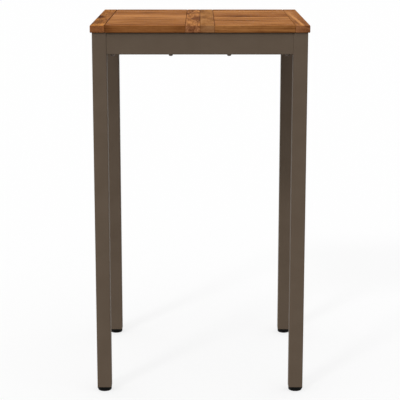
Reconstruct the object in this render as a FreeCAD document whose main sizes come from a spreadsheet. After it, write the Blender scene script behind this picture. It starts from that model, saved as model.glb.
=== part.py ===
import FreeCAD, Part
import math
import os

import Sketcher

# Bar-height patio table: a slatted hardwood top in two halves, on four square steel legs that stand on
# levelling glides. Millimetres, +Z up. The origin is on the floor under the middle of the top, +X points
# right and -Y points to the front.

# Driving sizes: alias, value, what it measures
SIZES = (
    ("table_height", 1050, "floor to the upper face of the boards"),
    ("top_length", 600, "top, left to right"),
    ("top_depth", 600, "top, front to back"),
    ("board_thickness", 20, "stiles and slats"),
    ("arris_width", 1.2, "eased edge of every board"),
    ("stile_width", 40, "board that runs front to back"),
    ("slat_count", 10, "slats in each half of the top"),
    ("slat_gap", 2.5, "open joint between two slats"),
    ("tenon_length", 8, "stub tenon, out of the end of a slat"),
    ("tenon_thickness", 8, "stub tenon, up and down"),
    ("tenon_shoulder", 10, "edge of a slat to the edge of its tenon"),
    ("tenon_clearance", 0.1, "mortise, all round its tenon"),
    ("batten_width", 60, "batten under the centre seam"),
    ("batten_thickness", 16, "batten, up and down"),
    ("batten_end_gap", 1, "end of the batten to the apron"),
    ("batten_screw_rows", 4, "rows of screws along the batten"),
    ("batten_screw_margin", 40, "end of the batten to its first screws"),
    ("batten_screw_diameter", 4, "shank of a batten screw"),
    ("batten_screw_head", 8, "countersunk head of a batten screw"),
    ("batten_screw_bite", 12, "batten screw, length in the stile"),
    ("batten_screw_drive", 3, "hexagon in the head, across flats"),
    ("batten_screw_drive_depth", 1.5, "hexagon in the head"),
    ("frame_overhang", 5, "edge of the top to the outer face of the frame"),
    ("leg_side", 40, "square tube of a leg"),
    ("leg_wall", 1.2, "wall of a leg"),
    ("leg_corner", 3, "outer corner radius of a leg"),
    ("apron_height", 60, "tube of an apron, up and down"),
    ("apron_thickness", 20, "tube of an apron, across"),
    ("apron_wall", 1.2, "wall of an apron"),
    ("apron_setback", 2, "outer face of a leg to the outer face of an apron"),
    ("apron_corner", 2.5, "outer corner radius of an apron"),
    ("least_corner", 0.2, "smallest inner corner radius of a tube"),
    ("spigot_length", 30, "spigot, out from the face of the leg"),
    ("spigot_wall", 2, "wall of a spigot"),
    ("spigot_clearance", 0.2, "spigot to the inside of its apron"),
    ("bolt_diameter", 6, "shank of a bolt"),
    ("bolt_head_diameter", 12, "button head, across its flange"),
    ("bolt_head_height", 4.5, "button head with its flange"),
    ("bolt_head_bevel", 2, "sloped edge of the button head"),
    ("bolt_drive", 4, "hexagon in the head, across flats"),
    ("bolt_drive_depth", 2, "hexagon in the head"),
    ("bolt_hole_clearance", 0.25, "shank to the side of its hole"),
    ("thread_clearance", 0.05, "shank to the bore of its nut"),
    ("bolt_tip", 1, "bolt past its nut"),
    ("corner_nut_across", 10, "nut in a spigot, across flats"),
    ("corner_nut_height", 5, "nut in a spigot"),
    ("front_bolt_spacing", 160, "panel bolts of the front and back aprons"),
    ("side_bolt_slats", 4, "slats from either end of the top to a panel bolt of a side apron"),
    ("panel_bolt_bite", 10, "panel bolt, length in the top"),
    ("insert_diameter", 10, "insert nut in a board"),
    ("insert_length", 12, "insert nut in a board"),
    ("insert_clearance", 0.05, "insert nut to the side of its hole"),
    ("insert_relief", 1, "hole past its insert nut"),
    ("flange_thickness", 2.5, "plug flange under the end of a leg"),
    ("plug_depth", 24, "plug, up inside the leg"),
    ("plug_wall", 2, "sleeve and webs of the plug"),
    ("plug_clearance", 0.3, "sleeve to the inside of the leg"),
    ("plug_boss_diameter", 20, "boss round the stem"),
    ("stem_nut_across", 13, "nut in the plug, across flats"),
    ("stem_nut_height", 6.5, "nut in the plug"),
    ("stem_nut_clearance", 0.1, "nut to the sides of its pocket"),
    ("stem_diameter", 8, "threaded stem"),
    ("stem_clearance", 0.05, "stem to the bores that it turns in"),
    ("stem_bore_clearance", 0.4, "stem to the bore of the plug"),
    ("stem_seat", 7, "stem, depth in the glide"),
    ("stem_spare", 14, "stem above the plug, which the foot can be wound down by"),
    ("stem_chamfer", 1, "lead at the top of the stem"),
    ("glide_height", 10.2, "round glide under a leg"),
    ("glide_gap", 0.3, "glide to the flange, wound right up"),
    ("glide_diameter", 40, "glide at its upper edge"),
    ("glide_taper", 0.6, "glide, smaller at its lower edge, each side"),
    ("glide_bevel", 2.5, "sloped lower edge of the glide"),
    ("glide_rim", 0.6, "broken upper edge of the glide"),
)

# Corners of the frame: side of the table in X and in Y, and the turn of what points inwards there
CORNERS = {
    "front_left": (-1, -1, 0),
    "front_right": (1, -1, 90),
    "back_right": (1, 1, 180),
    "back_left": (-1, 1, 270),
}

# Sizes and places that follow from the driving sizes
SLAT_PITCH = "((Sizes.top_depth + Sizes.slat_gap) / Sizes.slat_count)"
SLAT_WIDTH = f"({SLAT_PITCH} - Sizes.slat_gap)"
SLAT_LENGTH = "(Sizes.top_length / 2 - 2 * Sizes.stile_width)"
FIRST_SLAT = f"((Sizes.slat_count - 1) / 2 * {SLAT_PITCH})"
TENON_WIDTH = f"({SLAT_WIDTH} - 2 * Sizes.tenon_shoulder)"
BOARD_UNDER = "(Sizes.table_height - Sizes.board_thickness)"
OUTER_STILE = "(Sizes.top_length / 2 - Sizes.stile_width / 2)"
INNER_STILE = "(Sizes.stile_width / 2)"
LEG_X = "(Sizes.top_length / 2 - Sizes.frame_overhang - Sizes.leg_side / 2)"
LEG_Y = "(Sizes.top_depth / 2 - Sizes.frame_overhang - Sizes.leg_side / 2)"
LEG_UNDER = "(Sizes.glide_height + Sizes.glide_gap + Sizes.flange_thickness)"
LEG_INSIDE = "(Sizes.leg_side - 2 * Sizes.leg_wall)"
LEG_INNER_CORNER = "max(Sizes.leg_corner - Sizes.leg_wall; Sizes.least_corner)"
APRON_UNDER = f"({BOARD_UNDER} - Sizes.apron_height)"
APRON_OUT = "(Sizes.leg_side / 2 - Sizes.apron_setback - Sizes.apron_thickness / 2)"
APRON_X = f"({LEG_X} + {APRON_OUT})"
APRON_Y = f"({LEG_Y} + {APRON_OUT})"
APRON_INNER_CORNER = "max(Sizes.apron_corner - Sizes.apron_wall; Sizes.least_corner)"
SPIGOT_ACROSS = "(Sizes.apron_thickness - 2 * Sizes.apron_wall - 2 * Sizes.spigot_clearance)"
SPIGOT_UP = "(Sizes.apron_height - 2 * Sizes.apron_wall - 2 * Sizes.spigot_clearance)"
CORNER_BOLT = "(Sizes.leg_side / 2 + Sizes.spigot_length / 2)"
CORNER_NUT_UNDER = f"({APRON_UNDER} + Sizes.apron_wall + Sizes.spigot_clearance + Sizes.spigot_wall)"
CORNER_NUT_TOP = f"({CORNER_NUT_UNDER} + Sizes.corner_nut_height)"
FRONT_BOLT = "(Sizes.front_bolt_spacing / 2)"
SIDE_BOLT = f"((Sizes.slat_count / 2 - Sizes.side_bolt_slats) * {SLAT_PITCH})"
BOLT_HOLE = "(Sizes.bolt_diameter + 2 * Sizes.bolt_hole_clearance)"
NUT_BORE = "(Sizes.bolt_diameter + 2 * Sizes.thread_clearance)"
INSERT_HOLE = "(Sizes.insert_diameter + 2 * Sizes.insert_clearance)"
BATTEN_LENGTH = f"(2 * {APRON_Y} - Sizes.apron_thickness - 2 * Sizes.batten_end_gap)"
BATTEN_UNDER = f"({BOARD_UNDER} - Sizes.batten_thickness)"
FIRST_BATTEN_SCREW = f"({BATTEN_LENGTH} / 2 - Sizes.batten_screw_margin)"
BATTEN_SCREW_PITCH = f"(2 * {FIRST_BATTEN_SCREW} / (Sizes.batten_screw_rows - 1))"
BATTEN_SCREW_HOLE = "(Sizes.batten_screw_diameter + 2 * Sizes.thread_clearance)"
BATTEN_SINK_RIM = "(Sizes.batten_screw_head + 2 * Sizes.thread_clearance)"
BATTEN_SINK = "((Sizes.batten_screw_head - Sizes.batten_screw_diameter) / 2)"
PLUG_SIDE = f"({LEG_INSIDE} - 2 * Sizes.plug_clearance)"
PLUG_TOP = f"({LEG_UNDER} + Sizes.plug_depth)"
STEM_UNDER = "(Sizes.glide_height - Sizes.stem_seat)"
STEM_LENGTH = f"({PLUG_TOP} + Sizes.stem_spare - {STEM_UNDER})"
STEM_BORE = "(Sizes.stem_diameter + 2 * Sizes.stem_clearance)"
PLUG_BORE = "(Sizes.stem_diameter + 2 * Sizes.stem_bore_clearance)"
STEM_NUT_POCKET = "(Sizes.stem_nut_across + 2 * Sizes.stem_nut_clearance)"
HEXAGON_CORNER = "cos(30 deg)"

ORIGIN = FreeCAD.Vector(0, 0, 0)
UP = FreeCAD.Vector(0, 0, 1)
NEAR = 1e-4

DOC = FreeCAD.newDocument("PatioBarTable")
SHEET = DOC.addObject("Spreadsheet::Sheet", "Sizes")
for row, (alias, size, meaning) in enumerate(SIZES, start=1):
    SHEET.set(f"A{row}", meaning)
    SHEET.set(f"B{row}", str(size))
    SHEET.setAlias(f"B{row}", alias)
DOC.recompute()

PIECES = []


def value(expression):
    """Number that an expression of the sheet's sizes comes to."""
    return float(SHEET.evalExpression(expression))


def start_piece(label):
    """New empty body for one sub-part."""
    body = DOC.addObject("PartDesign::Body", label)
    body.Label = label
    PIECES.append(body)
    return body


def place(body, x="0", y="0", z="0", turn=0):
    """Put a finished sub-part where it belongs, turned about the vertical."""
    body.Placement = FreeCAD.Placement(ORIGIN, FreeCAD.Rotation(UP, turn))
    for axis, expression in zip("xyz", (x, y, z)):
        body.setExpression(f"Placement.Base.{axis}", expression)


def origin_part(body, role):
    """Plane or axis of the body's own origin."""
    return next(part for part in body.Origin.OriginFeatures if part.Role == role)


def attach(feature, body, role, offset):
    """Lay a feature on one of the body's planes, moved in that plane's own axes."""
    feature.AttachmentSupport = [(origin_part(body, role), "")]
    feature.MapMode = "FlatFace"
    for axis, expression in zip("xyz", offset):
        feature.setExpression(f"AttachmentOffset.Base.{axis}", expression)


def start_sketch(body, name, role="XY_Plane", offset=("0", "0", "0")):
    """Empty sketch on a plane of the body."""
    sketch = body.newObject("Sketcher::SketchObject", name)
    attach(sketch, body, role, offset)
    return sketch


def bind(sketch, constraint, name, expression):
    """Add a dimension to a sketch and bind it to the sheet."""
    index = sketch.addConstraint(constraint)
    sketch.renameConstraint(index, name)
    sketch.setExpression(f"Constraints.{name}", expression)


def draw_rectangle(sketch, across, along):
    """Rectangle about the sketch's origin."""
    first = sketch.GeometryCount
    half_x = value(across) / 2
    half_y = value(along) / 2
    corners = [
        FreeCAD.Vector(side_x * half_x, side_y * half_y, 0)
        for side_x, side_y in ((-1, -1), (1, -1), (1, 1), (-1, 1))
    ]
    for index in range(4):
        sketch.addGeometry(Part.LineSegment(corners[index], corners[(index + 1) % 4]))
    for index in range(4):
        sketch.addConstraint(
            Sketcher.Constraint("Coincident", first + index, 2, first + (index + 1) % 4, 1)
        )
        direction = ("Horizontal", "Vertical")[index % 2]
        sketch.addConstraint(Sketcher.Constraint(direction, first + index))
    sketch.addConstraint(Sketcher.Constraint("Symmetric", first, 1, first + 2, 1, -1, 1))
    width = Sketcher.Constraint("DistanceX", first, 1, first, 2, 2 * half_x)
    bind(sketch, width, f"across_{first}", across)
    height = Sketcher.Constraint("DistanceY", first + 1, 1, first + 1, 2, 2 * half_y)
    bind(sketch, height, f"along_{first}", along)


def draw_circle(sketch, diameter):
    """Circle about the sketch's origin."""
    first = sketch.GeometryCount
    radius = value(diameter) / 2
    sketch.addGeometry(Part.Circle(ORIGIN, UP, radius))
    sketch.addConstraint(Sketcher.Constraint("Coincident", first, 3, -1, 1))
    bind(sketch, Sketcher.Constraint("Diameter", first, 2 * radius), f"diameter_{first}", diameter)


def draw_hexagon(sketch, across_flats):
    """Regular hexagon about the sketch's origin, with two corners on its horizontal axis."""
    corner = value(f"{across_flats} / {HEXAGON_CORNER}") / 2
    ring = sketch.addGeometry(Part.Circle(ORIGIN, UP, corner), True)
    sketch.addConstraint(Sketcher.Constraint("Coincident", ring, 3, -1, 1))
    bind(
        sketch,
        Sketcher.Constraint("Diameter", ring, 2 * corner),
        f"corners_{ring}",
        f"{across_flats} / {HEXAGON_CORNER}",
    )
    first = sketch.GeometryCount
    spoke = FreeCAD.Vector(corner, 0, 0)
    points = [FreeCAD.Rotation(UP, 60 * step).multVec(spoke) for step in range(6)]
    for step in range(6):
        sketch.addGeometry(Part.LineSegment(points[step], points[(step + 1) % 6]))
    for step in range(6):
        sketch.addConstraint(Sketcher.Constraint("Coincident", first + step, 2, first + (step + 1) % 6, 1))
        sketch.addConstraint(Sketcher.Constraint("PointOnObject", first + step, 1, ring))
    for step in range(1, 6):
        sketch.addConstraint(Sketcher.Constraint("Equal", first, first + step))
    sketch.addConstraint(Sketcher.Constraint("PointOnObject", first, 1, -1))


def pad(body, sketch, length, symmetric=False):
    """Extrude a sketch along its normal, or equally to both sides of it."""
    feature = body.newObject("PartDesign::Pad", f"{sketch.Label}_pad")
    feature.Profile = sketch
    if symmetric:
        feature.SideType = "Symmetric"
    feature.setExpression("Length", length)
    DOC.recompute()
    return feature


def pocket(body, sketch, depth, along_normal=False):
    """Cut a sketch into the body, and make sure that something was cut."""
    before = body.Shape.Volume
    feature = body.newObject("PartDesign::Pocket", f"{sketch.Label}_pocket")
    feature.Profile = sketch
    feature.Reversed = along_normal
    feature.setExpression("Length", depth)
    DOC.recompute()
    if body.Shape.Volume >= before - NEAR:
        raise RuntimeError(f"{sketch.Label} cuts nothing from {body.Label}")
    return feature


def drill(body, name, diameter, depth, offset):
    """Round hole, upwards from a point of the body."""
    sketch = start_sketch(body, name, offset=offset)
    draw_circle(sketch, diameter)
    return pocket(body, sketch, depth, along_normal=True)


def edges_where(shape, wanted):
    """Names of the shape's edges that a test picks."""
    return [f"Edge{index}" for index, edge in enumerate(shape.Edges, start=1) if wanted(edge)]


def dress(body, kind, name, size, wanted):
    """Fillet or chamfer on the edges that a test picks."""
    base = body.Tip
    feature = body.newObject(f"PartDesign::{kind}", name)
    feature.Base = (base, edges_where(base.Shape, wanted))
    feature.setExpression("Radius" if kind == "Fillet" else "Size", size)
    DOC.recompute()
    return feature


def ease_all(body, width):
    """Break every edge that the body has so far."""
    return dress(body, "Chamfer", "eased_edges", width, lambda edge: True)


def parallel_at(axis, half_u, half_v):
    """Test for the four straight edges along an axis, at given distances from it."""
    others = [name for name in "xyz" if name != axis]

    def wanted(edge):
        middle = edge.CenterOfMass
        box = edge.BoundBox
        spans = {"x": box.XLength, "y": box.YLength, "z": box.ZLength}
        straight = all(spans[name] < NEAR for name in others)
        off_u = abs(abs(getattr(middle, others[0])) - half_u)
        off_v = abs(abs(getattr(middle, others[1])) - half_v)
        return straight and off_u < NEAR and off_v < NEAR

    return wanted


def ring_at(radius, height):
    """Test for the full circles of one radius at one height."""

    def wanted(edge):
        is_circle = edge.isClosed() and abs(edge.Length - 2 * math.pi * radius) < NEAR
        return is_circle and abs(edge.CenterOfMass.z - height) < NEAR

    return wanted


def mirror_all(body, *roles):
    """Copy everything that the body has to the other side of each plane."""
    for role in roles:
        feature = body.newObject("PartDesign::Mirrored", f"mirror_{role}")
        feature.TransformMode = "Whole shape"
        feature.MirrorPlane = (origin_part(body, role), [""])
        body.Tip = feature
        DOC.recompute()


def repeat(body, originals, axis_role, pitch, count):
    """Row of copies of some features along an axis of the body."""
    feature = body.newObject("PartDesign::LinearPattern", f"{originals[0].Label}_row")
    feature.Originals = originals
    feature.Direction = (origin_part(body, axis_role), [""])
    feature.Mode = "Spacing"
    feature.setExpression("Offset", pitch)
    feature.setExpression("Occurrences", count)
    body.Tip = feature
    DOC.recompute()
    return feature


def mirror_features(body, originals, role):
    """Copy some features to the other side of a plane."""
    feature = body.newObject("PartDesign::Mirrored", f"{originals[0].Label}_mirror")
    feature.Originals = originals
    feature.MirrorPlane = (origin_part(body, role), [""])
    body.Tip = feature
    DOC.recompute()
    return feature


def board(label, across, along, thickness):
    """Plank with eased edges, flat on its own origin."""
    body = start_piece(label)
    outline = start_sketch(body, "outline")
    draw_rectangle(outline, across, along)
    pad(body, outline, thickness)
    ease_all(body, "Sizes.arris_width")
    return body


def insert_hole(body, name, x, y):
    """Blind hole for an insert nut, in the underside of a board."""
    return drill(body, name, INSERT_HOLE, "Sizes.insert_length + Sizes.insert_relief", (x, y, "0"))


def make_stile(label, side, outer):
    """Stile with a mortise for every slat; the mortises face the middle of its half of the top."""
    body = board(label, "Sizes.stile_width", "Sizes.top_depth", "Sizes.board_thickness")
    offset = (f"-{FIRST_SLAT}", "Sizes.board_thickness / 2", "Sizes.stile_width / 2")
    mortise = start_sketch(body, "mortise", "YZ_Plane", offset)
    draw_rectangle(
        mortise,
        f"{TENON_WIDTH} + 2 * Sizes.tenon_clearance",
        "Sizes.tenon_thickness + 2 * Sizes.tenon_clearance",
    )
    cut = pocket(body, mortise, "Sizes.tenon_length + Sizes.tenon_clearance")
    repeat(body, [cut], "Y_Axis", SLAT_PITCH, "Sizes.slat_count")
    if outer:
        hole = insert_hole(body, "insert_hole", f"{OUTER_STILE} - {APRON_X}", SIDE_BOLT)
        mirror_features(body, [hole], "XZ_Plane")
    else:
        start = ("0", f"-{FIRST_BATTEN_SCREW}", "0")
        hole = drill(body, "screw_hole", BATTEN_SCREW_HOLE, "Sizes.batten_screw_bite", start)
        repeat(body, [hole], "Y_Axis", BATTEN_SCREW_PITCH, "Sizes.batten_screw_rows")
    distance = OUTER_STILE if outer else INNER_STILE
    faces_right = (side < 0) == outer
    place(body, f"{side} * {distance}", "0", BOARD_UNDER, 0 if faces_right else 180)


def make_slat(label, side, index, count):
    """Slat with a stub tenon at both ends; the first and the last take the panel bolts."""
    body = board(label, SLAT_LENGTH, SLAT_WIDTH, "Sizes.board_thickness")
    tenon = start_sketch(body, "tenon", "YZ_Plane", ("0", "Sizes.board_thickness / 2", "0"))
    draw_rectangle(tenon, TENON_WIDTH, "Sizes.tenon_thickness")
    pad(body, tenon, f"{SLAT_LENGTH} + 2 * Sizes.tenon_length", symmetric=True)
    centre_x = f"{side} * Sizes.top_length / 4"
    centre_y = f"{index} * {SLAT_PITCH} - {FIRST_SLAT}"
    if index in (0, count - 1):
        row = -1 if index == 0 else 1
        insert_hole(
            body, "insert_hole", f"{side} * {FRONT_BOLT} - {centre_x}", f"{row} * {APRON_Y} - ({centre_y})"
        )
    place(body, centre_x, centre_y, BOARD_UNDER)


def add_cone(body, kind, name, lower, upper, height, offset):
    """Upright cone, added to the body or cut from it."""
    feature = body.newObject(f"PartDesign::{kind}Cone", name)
    attach(feature, body, "XY_Plane", offset)
    feature.setExpression("Radius1", f"{lower} / 2")
    feature.setExpression("Radius2", f"{upper} / 2")
    feature.setExpression("Height", height)
    DOC.recompute()
    return feature


def make_batten():
    """Batten under the centre seam, with countersunk holes for two rows of screws."""
    body = board("centre_batten", "Sizes.batten_width", BATTEN_LENGTH, "Sizes.batten_thickness")
    holes = []
    for name, side in (("left", -1), ("right", 1)):
        start = (f"{side} * {INNER_STILE}", f"-{FIRST_BATTEN_SCREW}", "0")
        holes.append(drill(body, f"{name}_screw_hole", BATTEN_SCREW_HOLE, "Sizes.batten_thickness", start))
        rim = (BATTEN_SINK_RIM, BATTEN_SCREW_HOLE, BATTEN_SINK)
        holes.append(add_cone(body, "Subtractive", f"{name}_sink", *rim, start))
    repeat(body, holes, "Y_Axis", BATTEN_SCREW_PITCH, "Sizes.batten_screw_rows")
    place(body, "0", "0", BATTEN_UNDER)


def tube(body, name, role, across, along, wall, length, offset=("0", "0", "0"), symmetric=False):
    """Rectangular tube with sharp corners, along the normal of a plane."""
    section = start_sketch(body, name, role, offset)
    draw_rectangle(section, across, along)
    draw_rectangle(section, f"{across} - 2 * {wall}", f"{along} - 2 * {wall}")
    pad(body, section, length, symmetric)


def make_leg(corner, side_x, side_y):
    """Square tube with rounded corners, open at both ends."""
    body = start_piece(f"{corner}_leg")
    side = "Sizes.leg_side"
    tube(body, "section", "XY_Plane", side, side, "Sizes.leg_wall", f"{BOARD_UNDER} - {LEG_UNDER}")
    outside = value(side) / 2
    inside = value(LEG_INSIDE) / 2
    dress(body, "Fillet", "outer_corners", "Sizes.leg_corner", parallel_at("z", outside, outside))
    dress(body, "Fillet", "inner_corners", LEG_INNER_CORNER, parallel_at("z", inside, inside))
    place(body, f"{side_x} * {LEG_X}", f"{side_y} * {LEG_Y}", LEG_UNDER)


def make_apron(label, span, panel_bolt, x, y, turn):
    """Rectangular tube between two legs, drilled for its corner bolts and panel bolts."""
    body = start_piece(label)
    length = f"(2 * {span} - Sizes.leg_side)"
    tube(
        body,
        "section",
        "YZ_Plane",
        "Sizes.apron_thickness",
        "Sizes.apron_height",
        "Sizes.apron_wall",
        length,
        ("0", "Sizes.apron_height / 2", "0"),
        symmetric=True,
    )
    half_across = value("Sizes.apron_thickness") / 2
    half_up = value("Sizes.apron_height") / 2
    wall = value("Sizes.apron_wall")

    def corner_at(inset):
        wanted = parallel_at("x", half_across - inset, half_up - inset)

        def about_middle(edge):
            lowered = edge.copy()
            lowered.translate(FreeCAD.Vector(0, 0, -half_up))
            return wanted(lowered)

        return about_middle

    dress(body, "Fillet", "outer_corners", "Sizes.apron_corner", corner_at(0))
    dress(body, "Fillet", "inner_corners", APRON_INNER_CORNER, corner_at(wall))
    corner_hole = drill(
        body, "corner_bolt_hole", BOLT_HOLE, "Sizes.apron_height / 2", (f"{span} - {CORNER_BOLT}", "0", "0")
    )
    panel_hole = drill(body, "panel_bolt_hole", BOLT_HOLE, "Sizes.apron_height", (panel_bolt, "0", "0"))
    mirror_features(body, [corner_hole, panel_hole], "YZ_Plane")
    place(body, x, y, APRON_UNDER, turn)


def make_spigots(corner, side_x, side_y, turn):
    """Two stubs of tube on the inner faces of a leg, which the aprons slide over."""
    body = start_piece(f"{corner}_spigots")
    middle = "Sizes.apron_height / 2"
    tube(
        body,
        "spigot_x",
        "YZ_Plane",
        SPIGOT_ACROSS,
        SPIGOT_UP,
        "Sizes.spigot_wall",
        "Sizes.spigot_length",
        (f"-{APRON_OUT}", middle, "Sizes.leg_side / 2"),
    )
    tube(
        body,
        "spigot_y",
        "XZ_Plane",
        SPIGOT_ACROSS,
        SPIGOT_UP,
        "Sizes.spigot_wall",
        "Sizes.spigot_length",
        (f"-{APRON_OUT}", middle, "-Sizes.leg_side / 2 - Sizes.spigot_length"),
    )
    half_across = value(SPIGOT_ACROSS) / 2
    half_up = value(SPIGOT_UP) / 2
    raise_by = value("Sizes.apron_height") / 2
    out = value(APRON_OUT)

    def outer_corner(edge):
        centred = edge.copy()
        centred.translate(FreeCAD.Vector(out, out, -raise_by))
        along_x = parallel_at("x", half_across, half_up)(centred)
        return along_x or parallel_at("y", half_across, half_up)(centred)

    dress(body, "Fillet", "outer_corners", APRON_INNER_CORNER, outer_corner)
    drill(body, "bolt_hole_x", BOLT_HOLE, middle, (CORNER_BOLT, f"-{APRON_OUT}", "0"))
    drill(body, "bolt_hole_y", BOLT_HOLE, middle, (f"-{APRON_OUT}", CORNER_BOLT, "0"))
    place(body, f"{side_x} * {LEG_X}", f"{side_y} * {LEG_Y}", APRON_UNDER, turn)


def add_cylinder(body, name, diameter, length, offset):
    """Upright cylinder from a point of the body."""
    feature = body.newObject("PartDesign::AdditiveCylinder", name)
    attach(feature, body, "XY_Plane", offset)
    feature.setExpression("Radius", f"{diameter} / 2")
    feature.setExpression("Height", length)
    return feature


def add_button_bolt(body, name, length, x, y):
    """Button-head bolt that points up, with its head under an apron."""
    head_under = f"{APRON_UNDER} - Sizes.bolt_head_height"
    add_cylinder(body, f"{name}_shank", "Sizes.bolt_diameter", length, (x, y, APRON_UNDER))
    add_cylinder(
        body, f"{name}_head", "Sizes.bolt_head_diameter", "Sizes.bolt_head_height", (x, y, head_under)
    )
    DOC.recompute()
    rim = ring_at(value("Sizes.bolt_head_diameter") / 2, value(head_under))
    centre = FreeCAD.Vector(value(x), value(y), value(head_under))
    dress(
        body,
        "Chamfer",
        f"{name}_dome",
        "Sizes.bolt_head_bevel",
        lambda edge: rim(edge) and edge.CenterOfMass.distanceToPoint(centre) < NEAR,
    )
    drive = start_sketch(body, f"{name}_drive", offset=(x, y, head_under))
    draw_hexagon(drive, "Sizes.bolt_drive")
    pocket(body, drive, "Sizes.bolt_drive_depth", along_normal=True)


def add_hexagon_nut(body, name, across, height, bore, offset):
    """Hexagon nut with a plain bore, upwards from a point of the body."""
    nut = start_sketch(body, name, offset=offset)
    draw_hexagon(nut, across)
    draw_circle(nut, bore)
    pad(body, nut, height)


def make_corner_fasteners():
    """Bolts and nuts that lock each apron on its spigots."""
    spots = ((f"{LEG_X} - {CORNER_BOLT}", f"-{APRON_Y}"), (APRON_X, f"{CORNER_BOLT} - {LEG_Y}"))
    bolts = start_piece("corner_bolts")
    nuts = start_piece("corner_nuts")
    for index, (x, y) in enumerate(spots):
        add_button_bolt(bolts, f"bolt_{index}", f"{CORNER_NUT_TOP} + Sizes.bolt_tip - {APRON_UNDER}", x, y)
        add_hexagon_nut(
            nuts,
            f"nut_{index}",
            "Sizes.corner_nut_across",
            "Sizes.corner_nut_height",
            NUT_BORE,
            (x, y, CORNER_NUT_UNDER),
        )
    mirror_all(bolts, "YZ_Plane", "XZ_Plane")
    mirror_all(nuts, "YZ_Plane", "XZ_Plane")


def make_panel_fasteners():
    """Bolts up through the aprons into insert nuts in the boards."""
    spots = ((FRONT_BOLT, f"-{APRON_Y}"), (APRON_X, f"-{SIDE_BOLT}"))
    bolts = start_piece("panel_bolts")
    inserts = start_piece("panel_insert_nuts")
    for index, (x, y) in enumerate(spots):
        add_button_bolt(bolts, f"bolt_{index}", "Sizes.apron_height + Sizes.panel_bolt_bite", x, y)
        sleeve = start_sketch(inserts, f"insert_{index}", offset=(x, y, BOARD_UNDER))
        draw_circle(sleeve, "Sizes.insert_diameter")
        draw_circle(sleeve, NUT_BORE)
        pad(inserts, sleeve, "Sizes.insert_length")
    mirror_all(bolts, "YZ_Plane", "XZ_Plane")
    mirror_all(inserts, "YZ_Plane", "XZ_Plane")


def make_batten_screws():
    """Countersunk screws that hold the batten to the inner stiles."""
    body = start_piece("batten_screws")
    start = (INNER_STILE, f"-{FIRST_BATTEN_SCREW}", BATTEN_UNDER)
    length = "Sizes.batten_thickness + Sizes.batten_screw_bite"
    shank = add_cylinder(body, "shank", "Sizes.batten_screw_diameter", length, start)
    head = add_cone(
        body, "Additive", "head", "Sizes.batten_screw_head", "Sizes.batten_screw_diameter", BATTEN_SINK, start
    )
    drive = start_sketch(body, "drive", offset=start)
    draw_hexagon(drive, "Sizes.batten_screw_drive")
    cut = pocket(body, drive, "Sizes.batten_screw_drive_depth", along_normal=True)
    repeat(body, [shank, head, cut], "Y_Axis", BATTEN_SCREW_PITCH, "Sizes.batten_screw_rows")
    mirror_all(body, "YZ_Plane")


def make_plug(corner, side_x, side_y):
    """Square plug in the end of a leg: flange, sleeve, webs, and a boss that holds the stem's nut."""
    body = start_piece(f"{corner}_plug")
    flange = start_sketch(body, "flange", offset=("0", "0", "-Sizes.flange_thickness"))
    draw_rectangle(flange, "Sizes.leg_side", "Sizes.leg_side")
    pad(body, flange, "Sizes.flange_thickness")
    outside = value("Sizes.leg_side") / 2
    dress(body, "Fillet", "flange_corners", "Sizes.leg_corner", parallel_at("z", outside, outside))
    tube(body, "sleeve", "XY_Plane", PLUG_SIDE, PLUG_SIDE, "Sizes.plug_wall", "Sizes.plug_depth")
    half = value(PLUG_SIDE) / 2
    dress(body, "Fillet", "sleeve_corners", LEG_INNER_CORNER, parallel_at("z", half, half))
    inner_side = f"({PLUG_SIDE} - Sizes.plug_wall)"
    webs = (("web_x", inner_side, "Sizes.plug_wall"), ("web_y", "Sizes.plug_wall", inner_side))
    for name, across, along in webs:
        web = start_sketch(body, name)
        draw_rectangle(web, across, along)
        pad(body, web, "Sizes.plug_depth")
    boss = start_sketch(body, "boss")
    draw_circle(boss, "Sizes.plug_boss_diameter")
    pad(body, boss, "Sizes.plug_depth")
    bore_length = "Sizes.flange_thickness + Sizes.plug_depth"
    drill(body, "stem_bore", PLUG_BORE, bore_length, ("0", "0", "-Sizes.flange_thickness"))
    seat = start_sketch(body, "nut_pocket", offset=("0", "0", "Sizes.plug_depth"))
    draw_hexagon(seat, STEM_NUT_POCKET)
    pocket(body, seat, "Sizes.stem_nut_height")
    place(body, f"{side_x} * {LEG_X}", f"{side_y} * {LEG_Y}", LEG_UNDER)


def make_stem_nuts():
    """Nuts in the bosses of the four plugs, which the stems turn in."""
    body = start_piece("stem_nuts")
    add_hexagon_nut(
        body,
        "nut",
        "Sizes.stem_nut_across",
        "Sizes.stem_nut_height",
        STEM_BORE,
        (LEG_X, LEG_Y, f"{PLUG_TOP} - Sizes.stem_nut_height"),
    )
    mirror_all(body, "YZ_Plane", "XZ_Plane")


def make_stem(corner, side_x, side_y):
    """Threaded stem of a foot, as a plain rod of the thread's outer diameter."""
    body = start_piece(f"{corner}_stem")
    add_cylinder(body, "rod", "Sizes.stem_diameter", STEM_LENGTH, ("0", "0", "0"))
    DOC.recompute()
    end = ring_at(value("Sizes.stem_diameter") / 2, value(STEM_LENGTH))
    dress(body, "Chamfer", "lead", "Sizes.stem_chamfer", end)
    place(body, f"{side_x} * {LEG_X}", f"{side_y} * {LEG_Y}", STEM_UNDER)


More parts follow.
